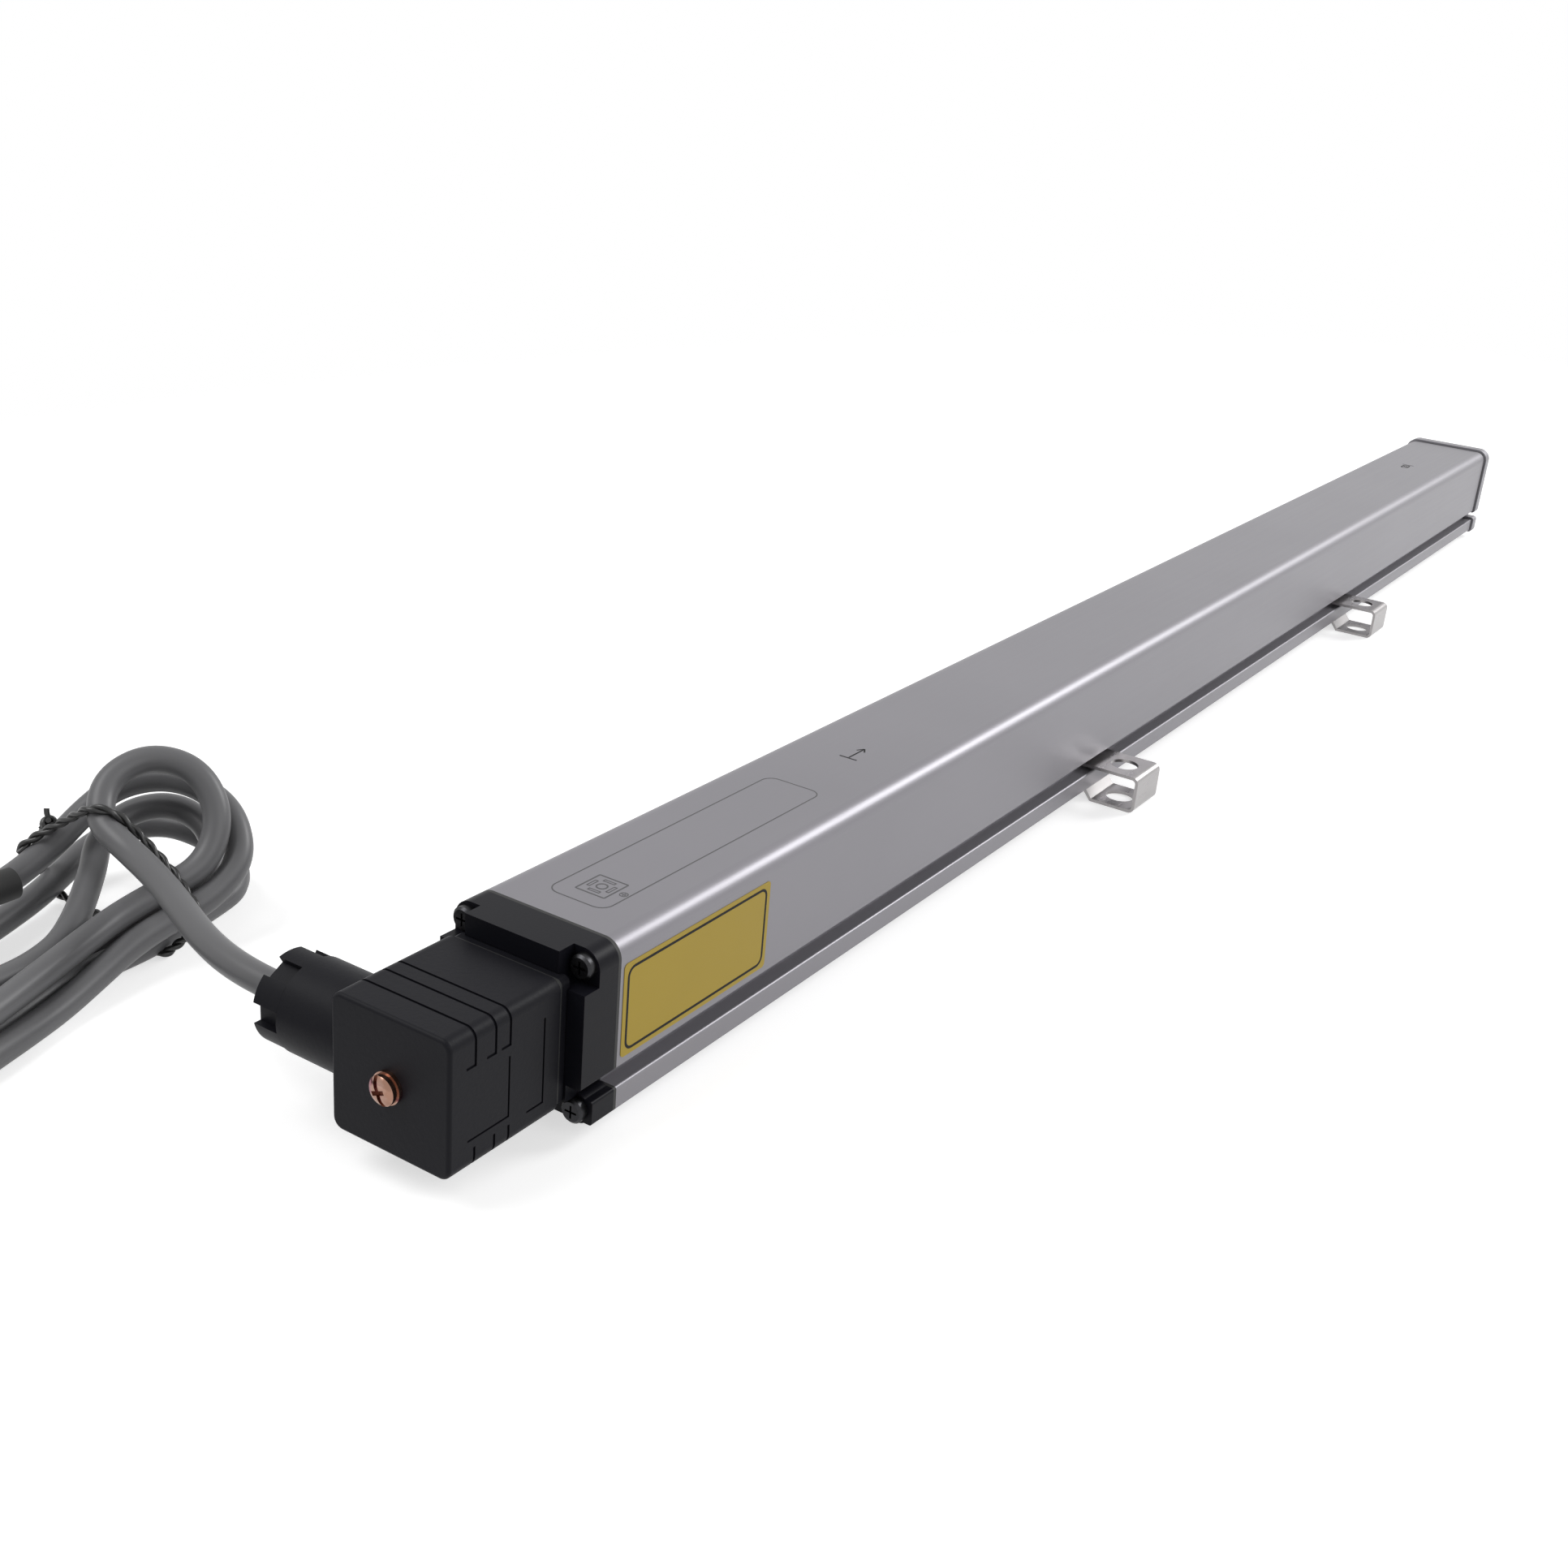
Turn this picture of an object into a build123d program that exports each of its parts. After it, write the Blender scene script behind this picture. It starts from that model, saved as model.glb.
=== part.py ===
"""Linear position sensor in an aluminium profile housing, with four mounting clips,
a square valve type plug and a cable folded into a tied hank.

Millimetres. +X runs along the sensor to its far end, +Y to the cable gland, +Z up.
The origin is the centre of the four clip holes, on the surface that the clips stand on.
"""

import os
from math import cos, pi, radians, sin, tan

from build123d import *

os.makedirs("parts", exist_ok=True)


# Driving dimensions of the profile
profile_length = 656.0
body_width = 36.0
body_height = 37.0
body_corner = 4.0
flange_width = 36.6
flange_height = 5.3
groove_height = 3.9
neck_width = 28.6
profile_edge = 0.6
rest_height = 3.5

# Chambers of the profile
upper_chamber_width = 24.0
upper_chamber_height = 10.4
lower_chamber_width = 21.0
lower_chamber_height = 13.2
roof_thickness = 6.0
board_slot_depth = 1.0
board_thickness = 1.6
board_above_floor = 5.0
inner_gap = 0.1

# Cap screws
screw_channel_radius = 1.3
screw_side_inset = 3.4
top_screw_drop = 3.4
screw_shank_radius = 1.25
screw_head_radius = 2.6
screw_head_height = 2.0
screw_length = 12.0
screw_head_edge = 0.5

# End caps and their seals
seal_thickness = 0.8
near_cap_length = 10.0
near_foot_length = 6.6
notch_depth = 4.3
notch_width = 6.4
notch_height = 7.2
lobe_radius = 3.2
far_seal_thickness = 1.4
far_cap_length = 6.0
far_cap_proud = 0.8
far_cap_edge = 0.6
cap_hole_gap = 0.2
cap_recess_depth = 0.8

# Clips
sheet = 0.9
clip_width = 16.0
clip_reach = 15.0
clip_bend = 2.0
clip_hole_radius = 4.0
clip_hole_inset = 7.9
leaf_corner = 1.0
leaf_lift = 1.2
clip_pitch = 230.0
clip_from_near_end = 229.5
groove_end_gap = 0.6
nose_overlap = 2.0
nose_gap = 0.1
nose_angle = 50.0

# Plug and its socket
plug_size = 28.8
plug_length = 29.6
plug_above_underside = 4.1
plug_corner = 2.4
plug_front_edge = 0.8
plug_wall = 2.2
chamber_corner = 1.0
seat_corner = 1.4
rib_depth = 0.35
rib_width = 0.6
rib_positions = (6.6, 11.9, 15.8)
rib_foot = 2.0
rib_drop = 7.2
lower_rib_height = 4.6
frame_line_width = 0.45
front_frame = (5.0, 15.7, 6.5, 19.2)
rear_frame = (21.0, 25.3, 4.8, 22.9)
base_plate_thickness = 2.2
base_plate_size = 27.4
base_core_size = 19.0
base_core_length = 6.5
gasket_thickness = 1.2
blade_width = 6.3
blade_thickness = 0.8
blade_length = 15.5
blade_offset = 8.0
blade_gap = 0.3
insert_size = 22.0
insert_length = 14.0
insert_gap = 0.4
insert_corner = 2.0

# Plug screw
plug_screw_radius = 1.5
plug_screw_gap = 0.05
plug_screw_head_radius = 3.0
plug_screw_head_height = 2.1
plug_washer_radius = 3.3
plug_washer_thickness = 0.8
plug_screw_depth = 31.6
slot_width = 0.9
slot_depth = 1.1
slot_turn = -22.0
head_dome = 0.9

# Cable gland
gland_radius = 9.8
gland_length = 14.8
gland_behind_front = 10.2
gland_above_middle = 1.2
gland_bore_radius = 7.6
gland_thread_gap = 0.05
nut_radius = 9.6
nut_length = 6.2
nut_notches = 6
nut_notch_width = 4.4
nut_notch_depth = 1.9
nut_gap = 0.2
nut_sleeve_length = 5.0
gland_washer_thickness = 1.2
bush_length = 7.0

# Cable
cable_diameter = 6.2
cable_side_gap = 0.35
hank_ahead_of_gland = 52.0
hank_length = 132.0
hank_run_width = 42.8
hank_run_middle_y = 101.4
hank_run_height = 22.0
hank_loop_length = 40.0
hank_loop_width = 47.0
hank_loop_middle_y = 114.5
hank_loop_height = 42.0
hank_loop_corner = 16.0
hank_slope_length = 16.0
hank_top_radius = 9.0
tie_behind_loops = 1.2
tie_width = 3.6
tie_thickness = 1.0
sleeve_length = 16.0
sleeve_radius = 3.6
sleeve_gap = 0.4
sleeve_height = 15.2
lead_count = 4
lead_radius = 0.7
lead_length = 14.0
lead_ring = 1.6

# Sensing element
carrier_gap = 0.1
tube_radius = 1.5
tube_wall = 0.5
wire_radius = 0.35
return_radius = 0.3
return_drop = 3.2
damping_length = 40.0
coil_length = 14.0
coil_radius = 3.6
bobbin_radius = 4.2
bobbin_flange = 1.0
bobbin_gap = 0.3
coil_from_carrier_end = 6.0
wire_tail = 2.0
magnet_size = 3.0
magnet_gap = 0.2
board_length = 92.0
board_from_end = 8.0
chip_height = 2.2

# Label
label_length = 50.0
label_height = 20.5
label_thickness = 0.12
label_from_end = 1.0
label_corner = 1.0


# Places worked out from the driving dimensions
near_x = -(clip_pitch / 2 + clip_from_near_end)
far_x = near_x + profile_length
underside_z = rest_height
flange_top_z = underside_z + flange_height
side_bottom_z = flange_top_z + groove_height
leaf_low_z = flange_top_z + leaf_lift
top_z = underside_z + body_height
roof_z = top_z - roof_thickness
ledge_z = roof_z - upper_chamber_height
floor_z = ledge_z - lower_chamber_height
board_z = floor_z + board_above_floor
element_z = ledge_z + upper_chamber_height / 2
screw_side = body_width / 2 - screw_side_inset
top_screw_z = top_z - top_screw_drop
low_screw_z = underside_z + flange_height / 2
cap_screw_places = [
    (-screw_side, top_screw_z),
    (screw_side, top_screw_z),
    (-screw_side, low_screw_z),
    (screw_side, low_screw_z),
]

seal_front_x = near_x - seal_thickness
cap_front_x = seal_front_x - near_cap_length
foot_front_x = seal_front_x - near_foot_length
notch_floor_x = cap_front_x + notch_depth
recess_floor_x = cap_front_x + cap_recess_depth

plug_middle_z = underside_z + plug_above_underside + plug_size / 2
base_front_x = recess_floor_x - base_plate_thickness
plug_back_x = base_front_x - gasket_thickness
plug_front_x = plug_back_x - plug_length
gland_x = plug_front_x + gland_behind_front
gland_z = plug_middle_z + gland_above_middle
gland_end_y = plug_size / 2 + gland_length
cable_radius = cable_diameter / 2


def finish(builder, name):
    builder.part.label = name
    export_step(builder.part, f"parts/{name}.step")


def profile_outline():
    """The closed outer section: body, neck above the flange, and flange."""
    with BuildSketch() as outline:
        body_tall = top_z - side_bottom_z
        with Locations((0, side_bottom_z + body_tall / 2)):
            Rectangle(body_width, body_tall)
        fillet(outline.vertices().group_by(Axis.Y)[-1], body_corner)
        fillet(outline.vertices().group_by(Axis.Y)[0], profile_edge)
        with BuildSketch(mode=Mode.PRIVATE) as foot:
            with Locations((0, underside_z + flange_height / 2)):
                Rectangle(flange_width, flange_height)
            fillet(foot.vertices(), profile_edge)
            neck_tall = side_bottom_z - flange_top_z
            with Locations((0, flange_top_z + neck_tall / 2)):
                Rectangle(neck_width, neck_tall + 2 * profile_edge)
        add(foot.sketch)
    return outline.sketch


section = profile_outline()


# Extruded housing with its side grooves, stepped chamber and screw channels
with BuildPart() as profile_housing:
    with BuildSketch(Plane.YZ.offset(near_x)):
        add(section)
        with Locations((0, ledge_z + upper_chamber_height / 2)):
            Rectangle(upper_chamber_width, upper_chamber_height, mode=Mode.SUBTRACT)
        with Locations((0, floor_z + lower_chamber_height / 2)):
            Rectangle(lower_chamber_width, lower_chamber_height, mode=Mode.SUBTRACT)
        with Locations((0, board_z + board_thickness / 2)):
            Rectangle(
                lower_chamber_width + 2 * board_slot_depth,
                board_thickness + 2 * inner_gap,
                mode=Mode.SUBTRACT,
            )
        with Locations(*cap_screw_places):
            Circle(screw_channel_radius, mode=Mode.SUBTRACT)
    extrude(amount=profile_length)
finish(profile_housing, "profile_housing")


def flat_seal(start_x, thickness):
    with BuildPart() as seal:
        with BuildSketch(Plane.YZ.offset(start_x)):
            add(section)
            chamber_tall = roof_z - floor_z
            with Locations((0, floor_z + chamber_tall / 2)):
                Rectangle(lower_chamber_width, chamber_tall, mode=Mode.SUBTRACT)
            with Locations(*cap_screw_places):
                Circle(screw_channel_radius, mode=Mode.SUBTRACT)
        extrude(amount=thickness)
    return seal


finish(flat_seal(seal_front_x, seal_thickness), "near_cap_seal")
finish(flat_seal(far_x, far_seal_thickness), "far_cap_seal")


# Near end cap: moulded block with open corner notches, a shorter foot and screw lobes
with BuildPart() as near_end_cap:
    with BuildSketch(Plane.YZ.offset(cap_front_x)):
        add(section)
        cut_tall = side_bottom_z - underside_z
        with Locations((0, underside_z + cut_tall / 2)):
            Rectangle(flange_width + 2, cut_tall, mode=Mode.SUBTRACT)
        with Locations((0, side_bottom_z - groove_height / 2)):
            Rectangle(neck_width, groove_height)
    extrude(amount=near_cap_length)
    with BuildSketch(Plane.YZ.offset(foot_front_x)):
        add(section)
        upper_tall = top_z - side_bottom_z
        with Locations((0, side_bottom_z + upper_tall / 2)):
            Rectangle(body_width + 2, upper_tall, mode=Mode.SUBTRACT)
        with Locations(*cap_screw_places[2:]):
            Circle(lobe_radius)
    extrude(amount=near_foot_length)
    with BuildSketch(Plane.YZ.offset(cap_front_x)):
        notch_y = body_width / 2 - notch_width / 2 + 1
        notch_z = top_z - notch_height / 2 + 1
        with Locations((-notch_y, notch_z), (notch_y, notch_z)):
            RectangleRounded(notch_width + 2, notch_height + 2, 1.2)
    extrude(amount=notch_depth, mode=Mode.SUBTRACT)
    with BuildSketch(Plane.YZ.offset(cap_front_x)):
        with Locations((0, plug_middle_z)):
            seat_size = base_plate_size + 2 * inner_gap
            RectangleRounded(seat_size, seat_size, seat_corner)
    extrude(amount=cap_recess_depth, mode=Mode.SUBTRACT)
    with BuildSketch(Plane.YZ.offset(cap_front_x)):
        with Locations(*cap_screw_places):
            Circle(screw_shank_radius + cap_hole_gap)
    extrude(amount=near_cap_length, mode=Mode.SUBTRACT)
finish(near_end_cap, "near_end_cap")


# Far end cap: a plate of the profile's outline, a little proud, with a bevelled rim
with BuildPart() as far_end_cap:
    with BuildSketch(Plane.YZ.offset(far_x + far_seal_thickness)):
        add(offset(section, amount=far_cap_proud))
    extrude(amount=far_cap_length)
    chamfer(far_end_cap.faces().sort_by(Axis.X)[-1].edges(), far_cap_edge)
    with BuildSketch(Plane.YZ.offset(far_x + far_seal_thickness)):
        with Locations(*cap_screw_places):
            Circle(screw_shank_radius + cap_hole_gap)
    extrude(amount=far_cap_length, mode=Mode.SUBTRACT)
    with BuildSketch(Plane.YZ.offset(far_x + far_seal_thickness + far_cap_length - screw_head_height)):
        with Locations(*cap_screw_places):
            Circle(screw_head_radius - cap_hole_gap / 2)
    extrude(amount=screw_head_height, mode=Mode.SUBTRACT)
finish(far_end_cap, "far_end_cap")


def cap_screw(head_x, direction, place, shank, head_radius):
    """A round headed screw whose head seats at head_x and whose shank runs along direction."""
    y, z = place
    seat = Plane((head_x, y, z), x_dir=(0, 1, 0), z_dir=(direction, 0, 0))
    with BuildPart() as screw:
        with BuildSketch(seat):
            Circle(screw_shank_radius)
        extrude(amount=shank)
        with BuildSketch(seat):
            Circle(head_radius)
        extrude(amount=-screw_head_height)
        outer = screw.faces().filter_by(Axis.X).sort_by(Axis.X)[0 if direction > 0 else -1]
        chamfer(outer.edges(), screw_head_edge)
        with BuildSketch(seat.offset(-screw_head_height)):
            Rectangle(head_radius * 1.1, slot_width / 2)
            Rectangle(slot_width / 2, head_radius * 1.1)
        extrude(amount=slot_depth, mode=Mode.SUBTRACT)
    return screw


for index, place in enumerate(cap_screw_places):
    seat_x = notch_floor_x if index < 2 else foot_front_x
    reach = near_x - seat_x + screw_length
    finish(cap_screw(seat_x, 1, place, reach, screw_head_radius), f"near_cap_screw_{index + 1}")

far_seat_x = far_x + far_seal_thickness + far_cap_length - screw_head_height
for index, place in enumerate(cap_screw_places):
    reach = far_seat_x - far_x + screw_length
    far_screw = cap_screw(far_seat_x, -1, place, reach, screw_head_radius - cap_hole_gap)
    finish(far_screw, f"far_cap_screw_{index + 1}")


def clip(middle_x, side):
    """A bent sheet clip: upper leaf in the groove, lower leaf on the mounting surface."""
    outer = body_width / 2 + clip_reach
    leaf_end = neck_width / 2 + groove_end_gap
    clip_top = leaf_low_z + sheet
    tip_z = underside_z - nose_gap
    slope = tan(radians(nose_angle))
    tip_y = flange_width / 2 - nose_overlap
    nose_y = tip_y + tip_z / slope
    inner_shift = sheet / sin(radians(nose_angle))
    points = [
        (leaf_end, clip_top),
        (outer, clip_top),
        (outer, 0),
        (nose_y, 0),
        (tip_y, tip_z),
        (tip_y + inner_shift, tip_z),
        (nose_y + inner_shift - sheet / slope, sheet),
        (outer - sheet, sheet),
        (outer - sheet, leaf_low_z),
        (leaf_end, leaf_low_z),
    ]
    hole_y = side * (outer - clip_hole_inset)
    with BuildPart() as bent:
        with BuildSketch(Plane.YZ.offset(middle_x - clip_width / 2)) as shape:
            with BuildLine():
                Polyline(*[(side * y, z) for y, z in points], close=True)
            make_face()
            outside = [v for v in shape.vertices() if abs(abs(v.X) - outer) < 0.01]
            fillet(outside, clip_bend)
            inside = [v for v in shape.vertices() if abs(abs(v.X) - outer + sheet) < 0.01]
            fillet(inside, clip_bend - sheet)
        extrude(amount=clip_width)
        corners = bent.edges().filter_by(Axis.Z)
        fillet([e for e in corners if abs(abs(e.center().Y) - leaf_end) < 0.01], leaf_corner)
        with BuildSketch(Plane.XY):
            with Locations((middle_x, hole_y)):
                Circle(clip_hole_radius)
        extrude(amount=clip_top, mode=Mode.SUBTRACT)
    return bent


for row, middle_x in (("near", -clip_pitch / 2), ("far", clip_pitch / 2)):
    for hand, side in (("right", -1), ("left", 1)):
        finish(clip(middle_x, side), f"{row}_clip_{hand}")


# Socket plate on the near cap, with the core that carries the contact blades
with BuildPart() as socket_base:
    with BuildSketch(Plane.YZ.offset(base_front_x)):
        with Locations((0, plug_middle_z)):
            RectangleRounded(base_plate_size, base_plate_size, seat_corner)
    extrude(amount=base_plate_thickness)
    with BuildSketch(Plane.YZ.offset(base_front_x - base_core_length)):
        with Locations((0, plug_middle_z)):
            RectangleRounded(base_core_size, base_core_size, 1.5)
    extrude(amount=base_core_length)
    with BuildSketch(Plane.YZ.offset(base_front_x - base_core_length)):
        with Locations((0, plug_middle_z)):
            Circle(plug_screw_radius + plug_screw_gap)
    extrude(amount=base_core_length + base_plate_thickness, mode=Mode.SUBTRACT)
    with BuildSketch(Plane.YZ.offset(base_front_x - base_core_length)):
        with Locations((-blade_offset, plug_middle_z), (blade_offset, plug_middle_z)):
            Rectangle(blade_thickness, blade_width)
        with Locations((0, plug_middle_z - blade_offset), (0, plug_middle_z + blade_offset)):
            Rectangle(blade_width, blade_thickness)
    extrude(amount=base_core_length, mode=Mode.SUBTRACT)
finish(socket_base, "socket_base")

blade_places = [
    (-blade_offset, 0, blade_thickness, blade_width),
    (blade_offset, 0, blade_thickness, blade_width),
    (0, -blade_offset, blade_width, blade_thickness),
    (0, blade_offset, blade_width, blade_thickness),
]
for index, (y, rise, wide, tall) in enumerate(blade_places):
    with BuildPart() as blade:
        with BuildSketch(Plane.YZ.offset(base_front_x - blade_length)):
            with Locations((y, plug_middle_z + rise)):
                Rectangle(wide, tall)
        extrude(amount=blade_length)
    finish(blade, f"contact_blade_{index + 1}")


# Profile gasket in the rear of the plug
with BuildPart() as plug_gasket:
    with BuildSketch(Plane.YZ.offset(plug_back_x)):
        with Locations((0, plug_middle_z)):
            RectangleRounded(base_plate_size, base_plate_size, seat_corner)
            gasket_window = base_core_size + 2 * insert_gap
            Rectangle(gasket_window, gasket_window, mode=Mode.SUBTRACT)
    extrude(amount=gasket_thickness)
finish(plug_gasket, "plug_gasket")


plug_top_z = plug_middle_z + plug_size / 2
plug_low_z = plug_middle_z - plug_size / 2


def side_marks(plane):
    """Short feet of the grip grooves and the two plain frame lines of a side wall."""
    with BuildSketch(plane) as lines:
        for offset_x in rib_positions:
            with Locations((plug_front_x + offset_x - rib_foot / 2, plug_top_z - rib_drop)):
                Rectangle(rib_foot + rib_width, rib_width)
        for start_x, end_x, low, high in (front_frame, rear_frame):
            upright_x = plug_front_x + end_x
            middle_x = plug_front_x + (start_x + end_x) / 2
            with Locations((upright_x, plug_low_z + (low + high) / 2)):
                Rectangle(frame_line_width, high - low)
            with Locations((middle_x, plug_low_z + low)):
                Rectangle(end_x - start_x + frame_line_width, frame_line_width)
    return lines.sketch


# Plug shell: square hood with grip grooves round it and the gland barrel
with BuildPart() as plug_shell:
    with BuildSketch(Plane.YZ.offset(plug_front_x)):
        with Locations((0, plug_middle_z)):
            RectangleRounded(plug_size, plug_size, plug_corner)
    extrude(amount=plug_length)
    front = plug_shell.faces().sort_by(Axis.X)[0]
    fillet(front.edges(), plug_front_edge)
    for offset_x in rib_positions:
        with BuildSketch(Plane.YZ.offset(plug_front_x + offset_x - rib_width / 2)):
            with Locations((0, plug_middle_z)):
                ring_size = plug_size + 2 * rib_depth
                core_size = plug_size - 2 * rib_depth
                RectangleRounded(ring_size, ring_size, plug_corner + rib_depth)
                RectangleRounded(core_size, core_size, plug_corner - rib_depth, mode=Mode.SUBTRACT)
            plain_height = plug_size - rib_drop - lower_rib_height
            with Locations((0, plug_low_z + lower_rib_height + plain_height / 2)):
                Rectangle(2 * plug_size, plain_height, mode=Mode.SUBTRACT)
        extrude(amount=rib_width, mode=Mode.SUBTRACT)
    extrude(side_marks(Plane.XZ.offset(plug_size / 2)), amount=-rib_depth, mode=Mode.SUBTRACT)
    with BuildSketch(Plane.XZ.offset(-plug_size / 2)):
        with Locations((gland_x, gland_z)):
            Circle(gland_radius)
    extrude(amount=-gland_length)
    with BuildSketch(Plane.XZ.offset(-plug_size / 2 + plug_wall)):
        with Locations((gland_x, gland_z)):
            Circle(gland_radius - 1)
    extrude(amount=-plug_wall)
    with BuildSketch(Plane.YZ.offset(plug_back_x)):
        with Locations((0, plug_middle_z)):
            chamber_side = plug_size - 2 * plug_wall
            RectangleRounded(chamber_side, chamber_side, chamber_corner)
    extrude(amount=-(plug_length - plug_wall), mode=Mode.SUBTRACT)
    with BuildSketch(Plane.XZ.offset(-gland_end_y)):
        with Locations((gland_x, gland_z)):
            Circle(gland_bore_radius)
    extrude(amount=gland_length + plug_wall, mode=Mode.SUBTRACT)
    with BuildSketch(Plane.YZ.offset(plug_front_x)):
        with Locations((0, plug_middle_z)):
            Circle(plug_screw_radius + cap_hole_gap)
    extrude(amount=plug_wall, mode=Mode.SUBTRACT)
finish(plug_shell, "plug_shell")


# Terminal insert inside the plug, slotted for the blades
insert_front_x = plug_front_x + plug_wall
insert_back_x = insert_front_x + insert_length
with BuildPart() as terminal_insert:
    with BuildSketch(Plane.YZ.offset(insert_front_x)):
        with Locations((0, plug_middle_z)):
            RectangleRounded(insert_size, insert_size, insert_corner)
            Circle(plug_screw_radius + cap_hole_gap, mode=Mode.SUBTRACT)
    extrude(amount=insert_length)
    with BuildSketch(Plane.YZ.offset(insert_back_x)):
        for y, rise, wide, tall in blade_places:
            with Locations((y, plug_middle_z + rise)):
                Rectangle(wide + 2 * blade_gap, tall + 2 * blade_gap)
    extrude(amount=-insert_length / 2, mode=Mode.SUBTRACT)
finish(terminal_insert, "terminal_insert")


# Captive screw that holds the plug, with its washer
with BuildPart() as plug_washer:
    with BuildSketch(Plane.YZ.offset(plug_front_x - plug_washer_thickness)):
        with Locations((0, plug_middle_z)):
            Circle(plug_washer_radius)
            Circle(plug_screw_radius + cap_hole_gap, mode=Mode.SUBTRACT)
    extrude(amount=plug_washer_thickness)
finish(plug_washer, "plug_washer")

head_back_x = plug_front_x - plug_washer_thickness
with BuildPart() as plug_screw:
    with BuildSketch(Plane.XZ):
        with BuildLine():
            head_front_x = head_back_x - plug_screw_head_height
            shank_end_x = head_back_x + plug_screw_depth
            flat = plug_screw_head_radius - head_dome
            Polyline(
                (head_front_x, plug_middle_z),
                (shank_end_x, plug_middle_z),
                (shank_end_x, plug_middle_z + plug_screw_radius),
                (head_back_x, plug_middle_z + plug_screw_radius),
                (head_back_x, plug_middle_z + plug_screw_head_radius),
                (head_front_x + head_dome, plug_middle_z + plug_screw_head_radius),
            )
            ThreePointArc(
                (head_front_x + head_dome, plug_middle_z + plug_screw_head_radius),
                (head_front_x + head_dome * 0.3, plug_middle_z + plug_screw_head_radius * 0.72),
                (head_front_x, plug_middle_z + flat * 0.6),
            )
            Line((head_front_x, plug_middle_z + flat * 0.6), (head_front_x, plug_middle_z))
        make_face()
    revolve(axis=Axis((0, 0, plug_middle_z), (1, 0, 0)))
    with BuildSketch(Plane.YZ.offset(head_front_x)):
        with Locations((0, plug_middle_z)):
            Rectangle(slot_width, 2 * plug_screw_head_radius, rotation=slot_turn)
            Rectangle(plug_screw_head_radius, slot_width, rotation=slot_turn)
    extrude(amount=slot_depth, mode=Mode.SUBTRACT)
finish(plug_screw, "plug_screw")


def gland_disc(start_y, length, outer_radius, inner_radius):
    with BuildPart() as disc:
        with BuildSketch(Plane.XZ.offset(-start_y)):
            with Locations((gland_x, gland_z)):
                Circle(outer_radius)
                Circle(inner_radius, mode=Mode.SUBTRACT)
        extrude(amount=-length)
    return disc


# Cable gland: rubber bush, pressure washer and notched nut
nut_face_y = gland_end_y + nut_gap
sleeve_start_y = nut_face_y - nut_sleeve_length
washer_start_y = sleeve_start_y - gland_washer_thickness
bush_start_y = washer_start_y - bush_length
bore_fit = gland_bore_radius - gland_thread_gap
finish(gland_disc(bush_start_y, bush_length, bore_fit, cable_radius + 0.02), "gland_bush")
clear_hole = cable_radius + cable_side_gap
finish(gland_disc(washer_start_y, gland_washer_thickness, bore_fit, clear_hole), "gland_washer")

with BuildPart() as gland_nut:
    with BuildSketch(Plane.XZ.offset(-nut_face_y)):
        with Locations((gland_x, gland_z)):
            Circle(nut_radius)
            with PolarLocations(nut_radius, nut_notches):
                Rectangle(2 * nut_notch_depth, nut_notch_width, mode=Mode.SUBTRACT)
            Circle(clear_hole, mode=Mode.SUBTRACT)
    extrude(amount=-nut_length)
    with BuildSketch(Plane.XZ.offset(-sleeve_start_y)):
        with Locations((gland_x, gland_z)):
            Circle(bore_fit)
            Circle(clear_hole, mode=Mode.SUBTRACT)
    extrude(amount=-nut_sleeve_length)
finish(gland_nut, "gland_nut")


# Cable from the gland to the tied hank: straight runs joined by tangent arcs
cable_start_y = bush_start_y
cable_points = [
    (gland_x, cable_start_y, gland_z),
    (gland_x, 46.0, gland_z),
    (gland_x + 3.0, 76.0, gland_z + 0.4),
    (gland_x + 9.0, 90.0, gland_z - 1.0),
]


def corner_radii(points):
    """Each arc takes 0.45 of its shorter run, over the tangent of half the turn."""
    radii = []
    for before, corner, after in zip(points, points[1:], points[2:]):
        first = Vector(*corner) - Vector(*before)
        second = Vector(*after) - Vector(*corner)
        turn = radians(first.get_angle(second))
        radii.append(0.45 * min(first.length, second.length) / tan(turn / 2))
    return radii


bend_radii = corner_radii(cable_points)
with BuildPart() as cable_run:
    with BuildLine() as route:
        FilletPolyline(*cable_points, radius=bend_radii)
    with BuildSketch(Plane(origin=cable_points[0], z_dir=(0, 1, 0))):
        Circle(cable_radius)
    sweep(path=route.wires()[0])
finish(cable_run, "cable_run")
print("cable run arcs", [round(radius) for radius in bend_radii])
tube_volume = route.wires()[0].length * pi * cable_radius**2
print("cable run volume", round(cable_run.part.volume), "of", round(tube_volume))


# Hank: the outer shape of the folded cable, low along its runs and raised at its loops
hank_end_x = gland_x + hank_ahead_of_gland
hank_start_x = hank_end_x - hank_length
loop_start_x = hank_end_x - hank_loop_length
slope_start_x = loop_start_x - hank_slope_length
tie_x = loop_start_x - tie_behind_loops


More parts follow.
